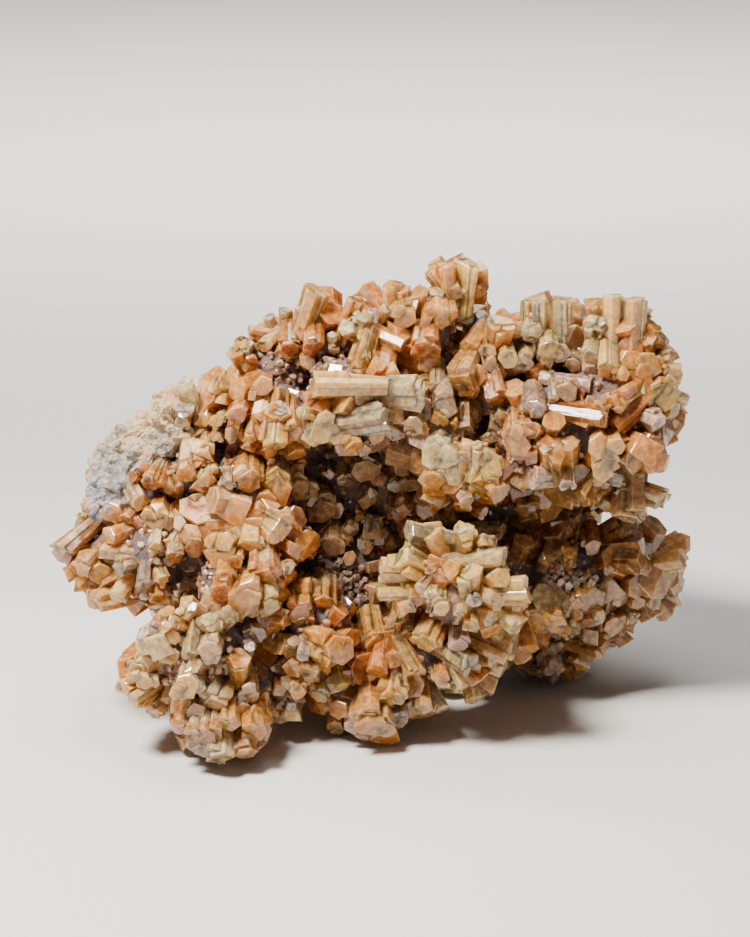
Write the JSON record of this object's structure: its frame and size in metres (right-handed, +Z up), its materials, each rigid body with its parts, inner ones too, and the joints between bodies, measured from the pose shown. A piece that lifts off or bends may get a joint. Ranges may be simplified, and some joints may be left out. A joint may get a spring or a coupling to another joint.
{
  "type": "aragonite specimen",
  "caption": "Mass of blunt, six-sided honey-coloured prisms grown together in sprays on a lumpy core, resting on flat-cut lobes.",
  "frame": {"origin": "on the surface the specimen rests on, under the middle of its bounding box", "axes": "+Z up, +X to the right as seen from the display side, -Y towards the viewer of the display side"},
  "size_m": [0.1634, 0.118, 0.1164],
  "materials": {
    "honey_aragonite": "translucent honey, rust and cream crystal with glossy prism sides and duller flat ends"
  },
  "bodies": {
    "root": {"aragonite_cluster": "honey_aragonite"}
  },
  "joints": []
}
